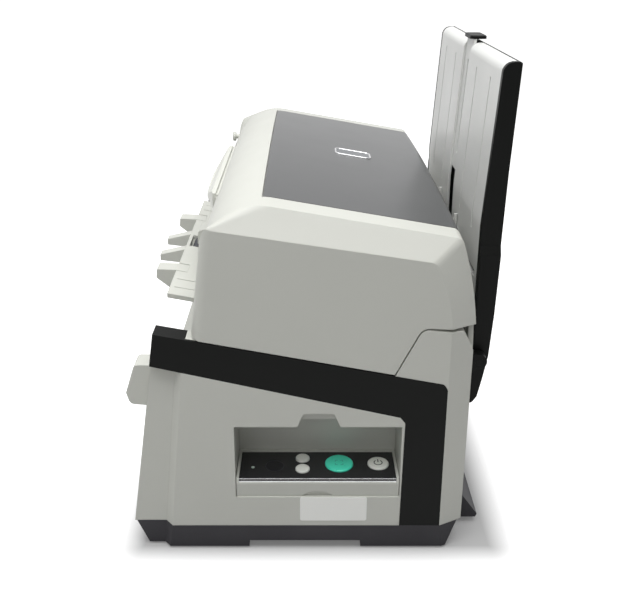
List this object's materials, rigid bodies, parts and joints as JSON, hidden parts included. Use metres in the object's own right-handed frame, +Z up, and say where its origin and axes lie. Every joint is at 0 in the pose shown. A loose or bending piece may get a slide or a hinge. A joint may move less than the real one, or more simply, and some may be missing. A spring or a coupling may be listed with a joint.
{
  "type": "desktop document scanner",
  "caption": "Desktop sheet-fed document scanner with a hinged cover, a tall folding paper tray, a side key shelf and an open exit bay.",
  "frame": {"origin": "on the floor under the middle of the whole scanner with its tray", "axes": "+Z up, +Y across the paper towards the far side, +X towards the paper tray; the exit bay faces -X and the keys are on the -Y side"},
  "size_m": [0.3496, 0.48, 0.456],
  "materials": {
    "light_shell": "fine satin",
    "black_shell": "fine texture",
    "base_black": "coarse texture",
    "foot_rubber": "matte",
    "dark_top": "satin",
    "handle_light": "satin",
    "panel_gloss": "gloss",
    "panel_metal": "bright",
    "badge_satin": "satin",
    "display_glass": "gloss",
    "lamp_lens": "clear gloss",
    "start_green": "gloss",
    "button_grey": "satin",
    "circuit_board": "semi-gloss",
    "frame_steel": "plated",
    "guide_black": "satin",
    "scan_glass": "clear",
    "scan_body": "matte",
    "roller_rubber": "matte",
    "motor_metal": "satin",
    "belt_rubber": "matte",
    "supply_metal": "satin",
    "tray_light": "satin",
    "guide_grey": "satin",
    "connector_black": "satin",
    "connector_metal": "plated",
    "pin_steel": "ground"
  },
  "bodies": {
    "base": {"base_pan": "base_black", "rubber_feet": "foot_rubber", "lower_housing": "light_shell", "near_side_band": "black_shell", "far_side_band": "black_shell", "rear_skirt": "base_black", "stacker_hooks": "light_shell", "power_inlet": "connector_black", "interface_sockets": "connector_metal", "panel_housing": "light_shell", "panel_face": "panel_gloss", "panel_trim": "panel_metal", "panel_board": "circuit_board", "panel_display": "display_glass", "status_lamp": "lamp_lens", "near_side_frame": "frame_steel", "far_side_frame": "frame_steel", "lower_guide": "guide_black", "lower_glass": "scan_glass", "lower_scan_unit": "scan_body", "drive_motor": "motor_metal", "drive_belt": "belt_rubber", "main_board": "circuit_board", "power_supply": "supply_metal", "exit_table": "light_shell", "exit_tongues": "light_shell", "tray_brackets": "black_shell", "cover_hinge_pins": "pin_steel", "frame_screws": "pin_steel"},
    "cover": {"upper_housing": "light_shell", "top_panel": "dark_top", "badge_frame": "panel_metal", "badge_inset": "badge_satin", "front_knob": "light_shell", "upper_guide": "guide_black", "upper_glass": "scan_glass", "upper_scan_unit": "scan_body", "separation_pads": "roller_rubber", "exit_pinch_block": "light_shell"},
    "handle": {"release_handle": "handle_light"},
    "tray": {"tray_shell": "black_shell", "near_tray_face": "tray_light", "far_tray_face": "tray_light"},
    "extension": {"tray_extension": "tray_light", "extension_cap": "black_shell"},
    "near_guide": {"near_side_guide": "guide_grey"},
    "far_guide": {"far_side_guide": "guide_grey"},
    "start_key": {"start_button": "start_green"},
    "power_key": {"power_button": "button_grey"},
    "upper_small_key": {"upper_key": "button_grey"},
    "lower_small_key": {"lower_key": "button_grey"},
    "front_drive": {"front_transport_rollers": "roller_rubber"},
    "rear_drive": {"rear_transport_rollers": "roller_rubber"},
    "pick_drive": {"pick_rollers": "roller_rubber"},
    "exit_drive": {"exit_roller": "roller_rubber"},
    "motor_drive": {"motor_pulley": "motor_metal"},
    "front_pinch": {"front_pinch_rollers": "roller_rubber"},
    "rear_pinch": {"rear_pinch_rollers": "roller_rubber"}
  },
  "joints": [
    {"name": "cover_hinge", "type": "hinge", "parent": "base", "child": "cover", "pos_m": [0.11066, 0, 0.212], "axis": [0, 1, 0], "range_deg": [0, 12]},
    {"name": "handle_pull", "type": "hinge", "parent": "cover", "child": "handle", "pos_m": [-0.09684, 0, 0.309], "axis": [0, 1, 0], "range_deg": [0, 12], "stiffness_Nm_per_rad": 0.8, "springref_deg": -8.59},
    {"name": "tray_tilt", "type": "hinge", "parent": "base", "child": "tray", "pos_m": [0.15366, 0, 0.172], "axis": [0, 1, 0], "range_deg": [0, 38]},
    {"name": "extension_slide", "type": "slide", "parent": "tray", "child": "extension", "axis": [0.0615, 0, 0.9981], "range_m": [0, 0.1]},
    {"name": "near_guide_slide", "type": "slide", "parent": "tray", "child": "near_guide", "axis": [0, 1, 0], "range_m": [-0.09, 0]},
    {"name": "far_guide_slide", "type": "slide", "parent": "tray", "child": "far_guide", "axis": [0, 1, 0], "range_m": [-0.001, 0.095]},
    {"name": "start_press", "type": "slide", "parent": "base", "child": "start_key", "axis": [0, 0, -1], "range_m": [0, 0.0012], "stiffness_N_per_m": 400, "springref_m": -0.0008},
    {"name": "power_press", "type": "slide", "parent": "base", "child": "power_key", "axis": [0, 0, -1], "range_m": [0, 0.0012], "stiffness_N_per_m": 400, "springref_m": -0.0008},
    {"name": "upper_key_press", "type": "slide", "parent": "base", "child": "upper_small_key", "axis": [0, 0, -1], "range_m": [0, 0.0012], "stiffness_N_per_m": 400, "springref_m": -0.0008},
    {"name": "lower_key_press", "type": "slide", "parent": "base", "child": "lower_small_key", "axis": [0, 0, -1], "range_m": [0, 0.0012], "stiffness_N_per_m": 400, "springref_m": -0.0008},
    {"name": "front_drive_spin", "type": "hinge", "parent": "base", "child": "front_drive", "pos_m": [-0.06334, 0, 0.19855], "axis": [0, 1, 0], "continuous": true},
    {"name": "rear_drive_spin", "type": "hinge", "parent": "base", "child": "rear_drive", "pos_m": [0.04166, 0, 0.17852], "axis": [0, 1, 0], "continuous": true},
    {"name": "pick_spin", "type": "hinge", "parent": "base", "child": "pick_drive", "pos_m": [0.08466, 0, 0.17031], "axis": [0, 1, 0], "continuous": true},
    {"name": "exit_spin", "type": "hinge", "parent": "base", "child": "exit_drive", "pos_m": [-0.13084, 0, 0.21942], "axis": [0, 1, 0], "continuous": true},
    {"name": "motor_spin", "type": "hinge", "parent": "base", "child": "motor_drive", "pos_m": [-0.01334, 0, 0.092], "axis": [0, 1, 0], "continuous": true},
    {"name": "front_pinch_spin", "type": "hinge", "parent": "cover", "child": "front_pinch", "pos_m": [-0.06334, 0, 0.22285], "axis": [0, 1, 0], "continuous": true},
    {"name": "rear_pinch_spin", "type": "hinge", "parent": "cover", "child": "rear_pinch", "pos_m": [0.04166, 0, 0.20282], "axis": [0, 1, 0], "continuous": true}
  ],
  "couplings": [
    {"joint": "far_guide_slide", "follows": "near_guide_slide", "ratio": -1},
    {"joint": "rear_drive_spin", "follows": "front_drive_spin", "ratio": 1},
    {"joint": "motor_spin", "follows": "front_drive_spin", "ratio": 1.5833}
  ]
}
